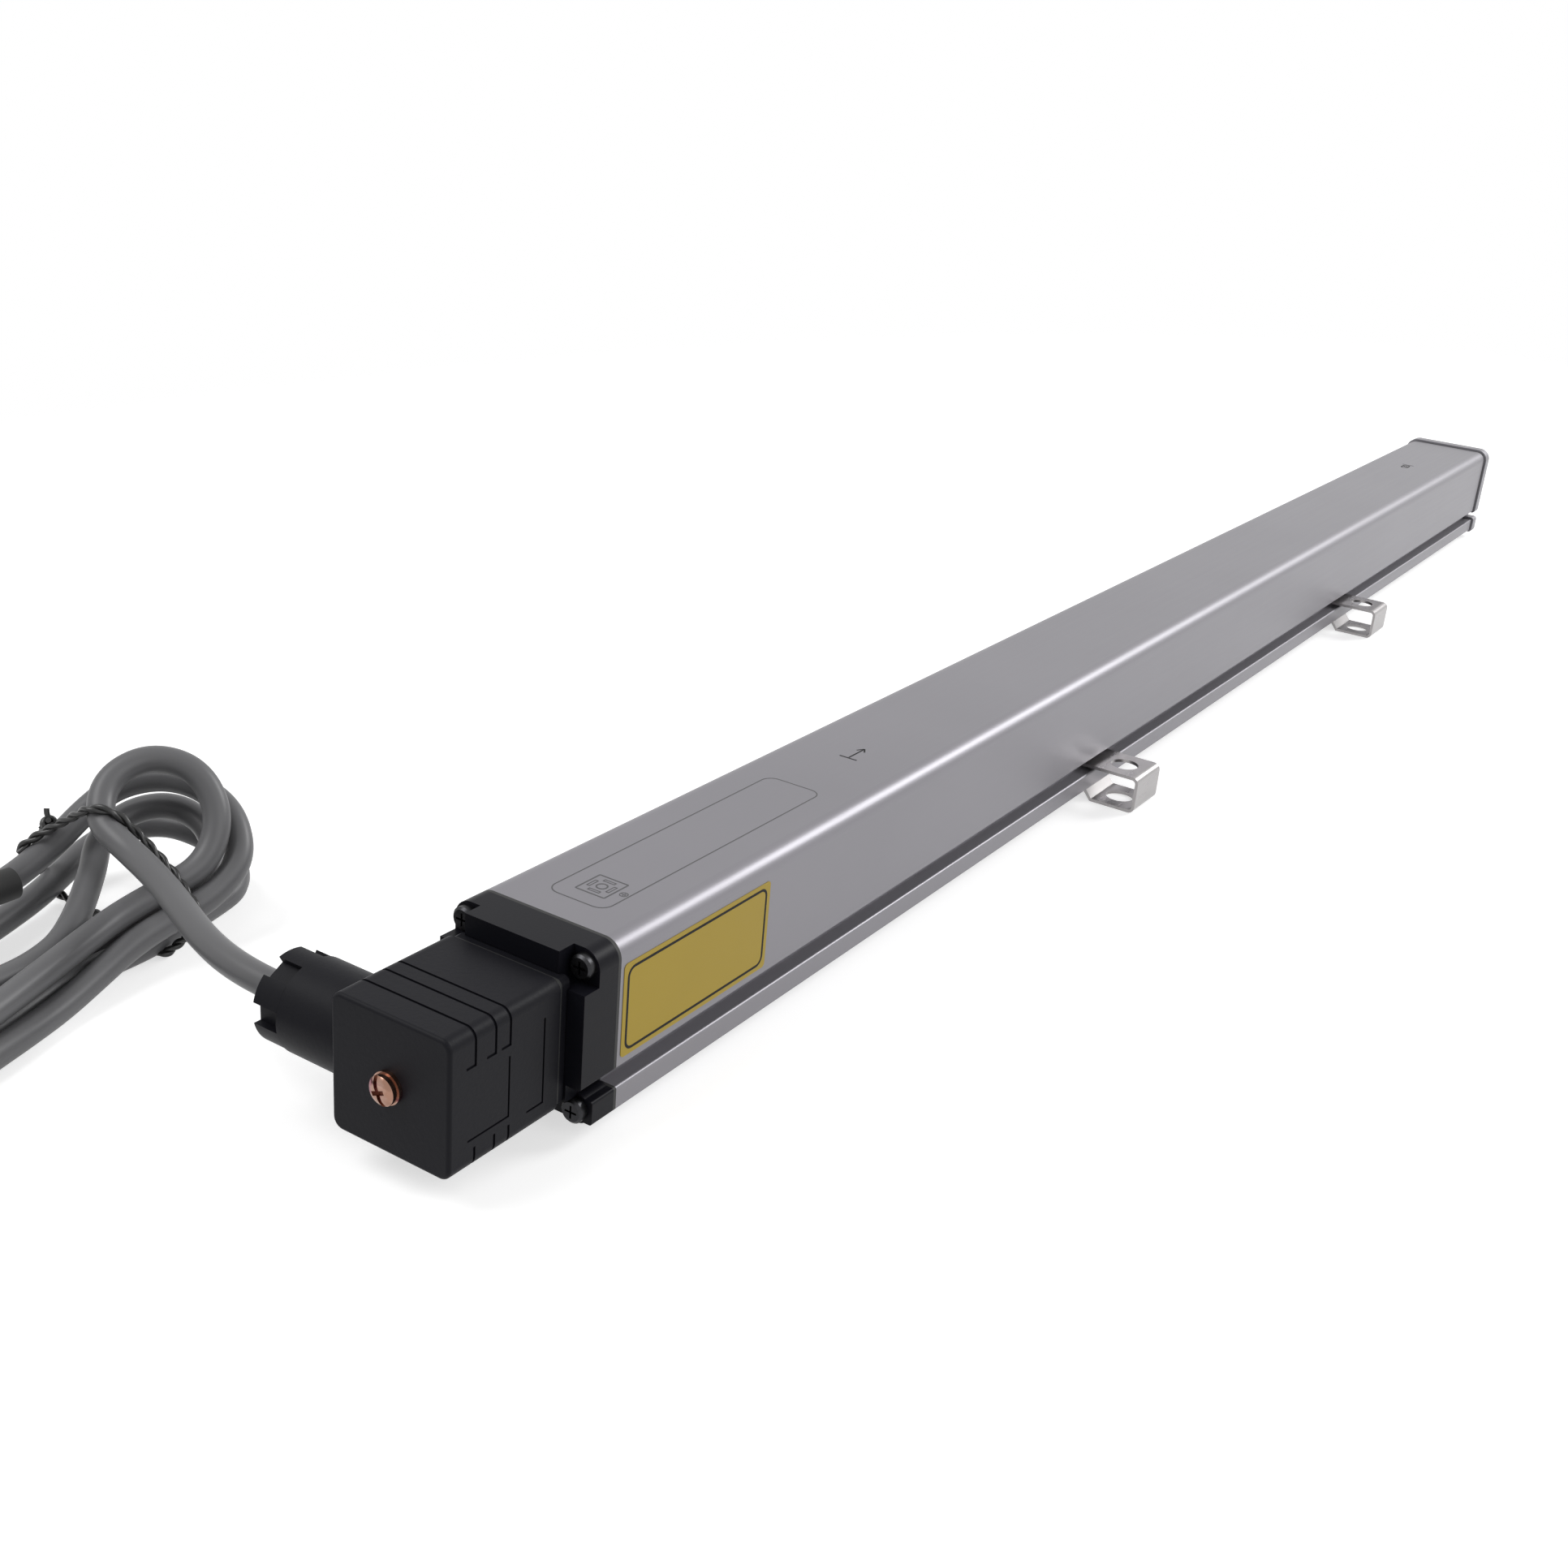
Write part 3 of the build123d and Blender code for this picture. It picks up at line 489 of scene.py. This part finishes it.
# %% The cable's route
cable_diameter = 6.2 * millimetre
cable_route = [
    (-377.3, 16.2, 23.2),
    (-377.3, 24.0, 23.2),
    (-377.3, 35.0, 23.2),
    (-377.2, 46.0, 23.2),
    (-376.0, 55.4, 23.3),
    (-373.4, 64.7, 23.5),
    (-369.6, 74.3, 23.7),
    (-365.3, 84.4, 23.9),
    (-361.7, 94.9, 24.3),
    (-359.1, 105.4, 25.1),
    (-358.9, 115.6, 28.7),
    (-352.1, 120.8, 35.4),
    (-342.3, 118.1, 38.9),
    (-335.5, 110.1, 35.9),
    (-336.0, 102.5, 27.2),
    (-342.6, 99.8, 18.2),
    (-353.0, 101.6, 14.7),
    (-363.6, 102.0, 13.0),
    (-374.1, 100.0, 11.7),
    (-384.1, 97.0, 11.0),
    (-393.9, 94.2, 10.3),
    (-404.0, 91.3, 9.6),
    (-414.4, 88.4, 9.4),
    (-425.1, 85.8, 9.9),
    (-436.0, 83.8, 11.1),
    (-447.1, 82.8, 13.0),
    (-457.6, 83.5, 15.2),
    (-467.8, 84.0, 17.4),
    (-475.6, 90.4, 18.9),
    (-477.7, 100.2, 19.6),
    (-472.6, 108.9, 18.8),
    (-462.9, 112.1, 17.2),
    (-452.7, 110.0, 15.4),
    (-442.2, 108.0, 13.6),
    (-431.7, 105.3, 11.8),
    (-421.0, 102.9, 10.4),
    (-410.2, 101.5, 9.6),
    (-399.3, 101.2, 9.2),
    (-388.2, 102.0, 8.8),
    (-378.2, 104.8, 9.5),
    (-369.7, 110.5, 10.8),
    (-361.5, 118.0, 11.4),
    (-353.6, 125.4, 12.4),
    (-346.6, 132.7, 14.7),
    (-337.6, 133.0, 19.1),
    (-330.2, 126.5, 20.7),
    (-328.3, 117.0, 18.1),
    (-332.1, 108.7, 13.2),
    (-340.4, 103.6, 9.8),
    (-350.7, 103.7, 9.6),
    (-361.5, 106.0, 7.6),
    (-372.0, 107.3, 3.8),
    (-382.7, 107.0, 3.1),
    (-393.5, 105.4, 3.3),
    (-404.0, 102.8, 3.2),
    (-414.4, 100.2, 3.2),
    (-425.1, 98.1, 3.2),
    (-436.0, 96.6, 3.2),
    (-447.0, 95.9, 3.2),
    (-457.9, 95.4, 3.2),
    (-468.2, 92.8, 3.1),
    (-477.6, 97.2, 3.3),
    (-482.2, 106.4, 3.4),
    (-479.1, 116.2, 3.5),
    (-470.3, 121.7, 3.6),
    (-459.8, 120.5, 3.5),
    (-448.9, 120.7, 3.5),
    (-437.8, 120.7, 3.5),
    (-426.7, 121.1, 3.5),
    (-415.9, 122.0, 3.5),
    (-405.1, 123.5, 3.6),
    (-394.4, 125.5, 3.9),
    (-383.6, 127.9, 4.3),
    (-373.1, 130.9, 4.8),
    (-362.6, 134.4, 5.3),
    (-352.6, 138.6, 6.2),
    (-343.5, 142.1, 8.1),
    (-334.0, 141.3, 10.5),
    (-326.5, 134.9, 12.0),
    (-323.1, 125.4, 10.7),
    (-321.8, 115.5, 7.6),
    (-327.4, 107.7, 3.9),
    (-337.7, 105.7, 3.1),
    (-348.1, 103.4, 3.2),
    (-358.8, 101.3, 3.1),
    (-369.6, 100.9, 3.2),
    (-380.4, 100.5, 3.2),
    (-390.9, 98.2, 3.2),
    (-401.3, 95.1, 3.2),
    (-411.9, 92.3, 3.1),
    (-422.5, 90.4, 3.5),
    (-433.2, 89.7, 4.9),
    (-443.7, 90.8, 7.4),
    (-453.1, 95.4, 9.9),
    (-461.6, 101.8, 10.9),
    (-472.2, 101.0, 11.8),
    (-479.4, 93.2, 11.9),
    (-478.9, 82.6, 10.7),
    (-471.2, 75.5, 8.7),
    (-460.4, 75.1, 7.2),
    (-449.8, 77.5, 5.5),
    (-438.8, 79.2, 4.1),
    (-427.9, 81.6, 3.4),
    (-417.2, 84.1, 3.2),
    (-406.9, 86.9, 3.2),
    (-397.0, 89.7, 3.1),
    (-387.2, 92.4, 3.4),
    (-376.9, 94.7, 5.4),
    (-366.4, 96.7, 8.0),
    (-355.6, 97.2, 9.7),
    (-345.0, 96.4, 11.3),
    (-334.8, 97.3, 16.8),
    (-330.3, 104.5, 24.2),
    (-330.7, 114.1, 28.5),
    (-334.3, 123.7, 29.8),
    (-341.9, 130.9, 27.6),
    (-350.1, 132.3, 23.1),
    (-359.6, 130.8, 18.6),
    (-369.6, 129.0, 15.9),
    (-377.5, 126.9, 15.3),
    (-386.0, 126.8, 15.2),
]
print("cable control points:", len(cable_route))


# %% Lay the cable
def curve_from(name, points, radius):
    line = bpy.data.curves.new(name, "CURVE")
    line.dimensions = "3D"
    spline = line.splines.new("NURBS")
    spline.points.add(len(points) - 1)
    for point, place in zip(spline.points, points):
        point.co = (*[v * millimetre for v in place], 1.0)
    spline.order_u = 3
    spline.use_endpoint_u = True
    spline.resolution_u = 10
    line.bevel_depth = radius
    line.bevel_resolution = 6
    line.use_fill_caps = True
    piece = bpy.data.objects.new(name, line)
    bpy.context.scene.collection.objects.link(piece)
    return piece


cable = curve_from("signal_cable", cable_route, cable_diameter / 2)
cable.data.materials.append(jacket)
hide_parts("cable_run", "cable_hank")
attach(cable, "plug")
print("cable laid, from", cable_route[0], "to", cable_route[-1])

# %% [markdown]
# ## The twist tie
# Two thin black wires, wound round each other, hold the hank. They cross over the first
# loop, go down beside the strands, under them and up again, and end in a small knot. A
# plain ring would do from afar. Here each wire is a curve of its own, because the tie
# shows close to the camera and its twist catches the light.

# %% The tie's two wires
wire_radius = 0.62 * millimetre
tie_wire_route = [
    (-367.3, 132.9, 18.3),
    (-365.9, 132.4, 19.2),
    (-364.7, 132.3, 20.3),
    (-364.1, 131.6, 21.9),
    (-363.9, 130.2, 22.9),
    (-363.2, 128.7, 23.2),
    (-361.9, 127.6, 23.7),
    (-361.0, 126.8, 25.1),
    (-361.2, 125.6, 26.6),
    (-361.5, 123.9, 27.3),
    (-361.2, 121.9, 27.7),
    (-360.4, 120.4, 28.8),
    (-360.3, 119.1, 30.6),
    (-361.1, 117.4, 32.0),
    (-361.1, 114.9, 32.4),
    (-359.4, 113.3, 31.8),
    (-357.6, 112.2, 31.5),
    (-356.1, 110.7, 30.9),
    (-355.7, 109.2, 29.3),
    (-355.5, 108.6, 27.4),
    (-354.2, 108.2, 25.8),
    (-353.0, 106.7, 24.9),
    (-353.0, 104.9, 24.1),
    (-353.3, 103.8, 22.5),
    (-352.8, 103.0, 20.8),
    (-351.8, 101.5, 19.9),
    (-351.7, 99.5, 19.5),
    (-352.4, 97.9, 18.4),
    (-352.5, 97.2, 16.6),
    (-351.8, 96.4, 15.0),
    (-351.1, 94.9, 14.1),
    (-351.4, 93.2, 13.2),
    (-351.8, 92.4, 11.6),
    (-351.5, 92.3, 9.8),
    (-352.0, 93.1, 8.3),
    (-351.9, 94.4, 7.7),
    (-351.3, 95.3, 6.7),
    (-351.3, 95.6, 5.3),
    (-352.1, 95.7, 4.2),
    (-353.2, 96.3, 3.9),
    (-353.7, 97.3, 3.6),
    (-354.0, 98.2, 2.6),
    (-354.6, 98.1, 1.4),
    (-356.0, 97.7, 1.0),
    (-357.5, 98.6, 1.3),
    (-357.7, 104.7, 1.5),
    (-356.7, 106.0, 0.9),
    (-356.7, 107.7, 0.7),
    (-356.9, 109.4, 0.7),
    (-356.3, 111.0, 1.5),
    (-355.1, 112.5, 1.4),
    (-354.7, 114.2, 0.7),
    (-355.1, 116.0, 0.7),
    (-355.2, 117.8, 1.1),
    (-354.4, 119.6, 1.6),
    (-353.7, 121.4, 1.1),
    (-353.9, 123.3, 0.7),
    (-354.6, 125.2, 0.7),
    (-354.5, 127.0, 1.6),
    (-353.7, 128.8, 1.8),
    (-353.5, 130.7, 1.1),
    (-354.2, 132.6, 0.9),
    (-354.8, 134.2, 1.7),
    (-354.4, 135.9, 2.5),
    (-353.9, 137.7, 2.3),
    (-354.4, 139.5, 1.9),
    (-355.5, 140.8, 2.9),
    (-355.4, 140.9, 4.7),
    (-355.0, 142.3, 6.0),
    (-356.0, 141.8, 7.5),
    (-356.0, 140.7, 8.7),
    (-355.4, 140.2, 10.3),
    (-355.6, 140.4, 12.1),
    (-356.7, 140.0, 13.5),
    (-357.5, 138.7, 14.6),
    (-357.4, 137.3, 15.9),
    (-357.3, 136.7, 17.7),
    (-358.1, 136.3, 19.5),
    (-359.4, 135.3, 20.6),
    (-359.9, 133.6, 21.5),
    (-359.6, 132.0, 22.6),
    (-360.0, 130.8, 24.2),
    (-361.2, 129.7, 25.4),
]
tie_twin_route = [
    (-366.4, 133.7, 18.1),
    (-366.2, 133.4, 19.9),
    (-365.7, 131.9, 20.9),
    (-364.5, 130.7, 21.2),
    (-363.0, 130.1, 22.0),
    (-362.3, 129.5, 23.5),
    (-362.3, 128.2, 24.7),
    (-362.2, 126.4, 25.2),
    (-361.3, 124.9, 25.6),
    (-360.4, 123.7, 26.9),
    (-360.5, 122.5, 28.5),
    (-361.2, 120.8, 29.6),
    (-361.3, 118.7, 30.0),
    (-360.7, 116.9, 31.0),
    (-360.0, 115.4, 32.5),
    (-359.2, 113.2, 33.1),
    (-358.2, 111.2, 32.0),
    (-357.1, 110.6, 30.1),
    (-355.7, 110.2, 28.7),
    (-354.3, 108.9, 27.8),
    (-354.1, 107.2, 26.6),
    (-354.2, 106.4, 24.8),
    (-353.3, 105.7, 23.2),
    (-352.2, 104.2, 22.3),
    (-352.2, 102.3, 21.7),
    (-352.8, 101.0, 20.5),
    (-352.6, 100.0, 18.7),
    (-351.8, 98.7, 17.6),
    (-351.3, 97.0, 16.8),
    (-351.8, 95.5, 15.8),
    (-352.3, 94.7, 14.2),
    (-351.9, 94.2, 12.5),
    (-351.5, 93.6, 11.3),
    (-351.6, 93.5, 9.9),
    (-351.0, 93.6, 8.6),
    (-351.1, 93.8, 7.1),
    (-351.9, 94.4, 6.1),
    (-352.4, 95.5, 5.6),
    (-352.3, 96.6, 5.0),
    (-352.3, 97.1, 3.8),
    (-353.0, 97.0, 2.7),
    (-354.3, 97.0, 2.4),
    (-355.4, 97.7, 2.4),
    (-355.9, 98.7, 1.7),
    (-356.5, 98.9, 0.7),
    (-358.1, 104.6, 0.7),
    (-357.9, 106.4, 1.0),
    (-356.9, 107.8, 1.6),
    (-355.8, 109.1, 1.2),
    (-355.6, 110.8, 0.7),
    (-356.0, 112.6, 0.7),
    (-355.7, 114.3, 1.3),
    (-354.7, 115.9, 1.5),
    (-354.0, 117.7, 0.8),
    (-354.4, 119.6, 0.7),
    (-354.9, 121.5, 0.9),
    (-354.4, 123.3, 1.6),
    (-353.6, 125.1, 1.4),
    (-353.6, 127.0, 0.7),
    (-354.4, 128.9, 0.7),
    (-354.6, 130.7, 1.6),
    (-354.0, 132.5, 2.1),
    (-353.5, 134.3, 1.7),
    (-354.2, 136.1, 1.3),
    (-355.0, 137.6, 1.8),
    (-355.0, 139.0, 2.8),
    (-354.5, 140.4, 3.5),
    (-355.0, 142.0, 4.2),
    (-355.7, 141.3, 5.9),
    (-354.9, 141.3, 7.4),
    (-355.2, 141.6, 9.1),
    (-356.2, 141.1, 10.5),
    (-356.7, 139.9, 11.6),
    (-356.3, 138.9, 13.1),
    (-356.3, 138.7, 14.9),
    (-357.3, 138.3, 16.5),
    (-358.4, 137.1, 17.6),
    (-358.6, 135.5, 18.7),
    (-358.4, 134.5, 20.4),
    (-359.1, 134.0, 22.3),
    (-360.4, 132.7, 23.3),
    (-361.0, 130.8, 23.6),
    (-360.8, 128.9, 24.4),
]
print("points of the two wires:", len(tie_wire_route), "and", len(tie_twin_route))

# %% The tie's knot
tie_knot_route = [
    (-361.6, 132.2, 23.4),
    (-360.9, 131.0, 22.3),
    (-359.3, 130.6, 22.7),
    (-359.1, 131.3, 24.3),
    (-360.5, 132.0, 24.9),
    (-361.8, 131.5, 23.8),
    (-361.2, 130.3, 22.7),
    (-359.6, 129.9, 23.2),
    (-359.3, 130.6, 24.7),
    (-360.7, 131.3, 25.3),
    (-362.0, 130.8, 24.3),
    (-361.4, 129.7, 23.2),
    (-359.8, 129.2, 23.7),
    (-359.5, 129.9, 25.2),
    (-361.0, 130.6, 25.8),
    (-360.4, 131.1, 27.6),
]
print("points of the knot:", len(tie_knot_route))

# %% Put the tie around the strands
tie_routes = {
    "tie_wire": tie_wire_route,
    "tie_twin": tie_twin_route,
    "tie_knot": tie_knot_route,
}
for name, route in tie_routes.items():
    wire = curve_from(name, route, wire_radius)
    wire.data.materials.append(tie_plastic)
    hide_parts("hank_tie")
    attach(wire, "plug")

# %% [markdown]
# ## The camera
# The picture was taken from low down and near the plug, a little turned, so the sensor
# runs away from the viewer. A camera could be placed by eye. Here its place, direction
# and lens were worked out from the sensor's own corners, so that all lines meet.

# %% Camera
camera_place = Vector((-591.8, -201.5, 202.6)) * millimetre
camera_yaw = radians(31.426)
camera_pitch = radians(22.542)
camera_roll = radians(4.915)
lens = 42.23
sensor_width = 36.0
level_part = cos(camera_pitch)
forward = Vector(
    (cos(camera_yaw) * level_part, sin(camera_yaw) * level_part, -sin(camera_pitch))
)
camera_data = bpy.data.cameras.new("camera")
camera_data.lens = lens
camera_data.sensor_width = sensor_width
camera_data.clip_start = 0.01
camera = bpy.data.objects.new("camera", camera_data)
bpy.context.scene.collection.objects.link(camera)
upright = forward.to_track_quat("-Z", "Y")
turned = upright @ Euler((0, 0, camera_roll)).to_quaternion()
camera.matrix_world = Matrix.Translation(camera_place) @ turned.to_matrix().to_4x4()
bpy.context.scene.camera = camera
print("camera at", tuple(round(v, 3) for v in camera_place))

# %% [markdown]
# ## Floor and light
# A pale floor takes the soft shadows and fades out before its edge. Floor and surround
# show white to the camera and in reflections, but light the sensor less, or its dark
# plastics would turn grey. Three wide lamps shape it: one from the upper left, a weaker
# one from the near side and one past the far end, which draws the bright long edge.


# %% What a viewer's ray can see
def seen_by_viewer(graph):
    """1 for a ray that comes from the camera, straight, mirrored or through glass."""
    rays = [
        graph.node("ShaderNodeLightPath", out=name)
        for name in ("Is Camera Ray", "Is Glossy Ray", "Is Transmission Ray")
    ]
    return rays[0].either(rays[1]).either(rays[2])


# %% The floor
floor_size = 12.0
floor_tone = 0.62
fade_start, fade_end = 0.48, 0.85


def floor_finish():
    graph = new_finish("pale_floor")
    place = graph.node("ShaderNodeTexCoord", out="Object")
    inputs = {"Vector": place, "Location": (0.05, 0, 0), "Scale": (0.8, 1.5, 1)}
    spot = graph.node("ShaderNodeMapping", {}, inputs)
    reach = graph.node("ShaderNodeVectorMath", {"operation": "LENGTH"}, {0: spot}, out=1)
    fade = {
        "Value": reach,
        "From Min": fade_start,
        "From Max": fade_end,
        "To Min": 1.0,
        "To Max": 0.0,
    }
    graph.feed("Base Color", colour(*grey(floor_tone)))
    graph.feed("Emission Color", colour(*grey(1.0)))
    graph.feed("Emission Strength", seen_by_viewer(graph) * floor_tone)
    graph.feed("Roughness", 0.7)
    graph.feed("Specular IOR Level", 0.1)
    graph.feed("Alpha", graph.node("ShaderNodeMapRange", {}, fade))
    return graph.owner


clear_selection()
bpy.ops.mesh.primitive_plane_add(size=floor_size, location=(0, 0, 0))
floor = bpy.context.object
floor.name = "floor"
floor.data.materials.append(floor_finish())
print("floor fades from", fade_start, "to", fade_end, "m")


# %% The lamps
def soft_lamp(name, place, target, size, power):
    data = bpy.data.lights.new(name, "AREA")
    data.shape = "DISK"
    data.size = size
    data.energy = power
    lamp = bpy.data.objects.new(name, data)
    bpy.context.scene.collection.objects.link(lamp)
    lamp.location = place
    lamp.rotation_euler = (Vector(target) - Vector(place)).to_track_quat("-Z", "Y").to_euler()
    print(name, "gives", power, "W")


soft_lamp("key_lamp", (-1.1, 0.8, 1.6), target=(-0.2, 0, 0), size=1.2, power=19.0)
soft_lamp("fill_lamp", (-0.4, -1.6, 0.9), target=(-0.1, 0, 0), size=1.4, power=8.5)
soft_lamp("end_lamp", (1.7, -0.95, 1.3), target=(0.0, 0, 0), size=1.0, power=32.0)

# %% The surround
surround_light = 0.26
world = bpy.data.worlds.new("surround")
bpy.context.scene.world = world
surround = Graph(world, shader="Background")
seen = seen_by_viewer(surround)
surround.feed("Color", colour(*grey(1.0)))
surround.feed("Strength", (1 - seen) * surround_light + seen)
bpy.context.scene.view_settings.view_transform = "Standard"
print("surround lights the sensor at", surround_light)
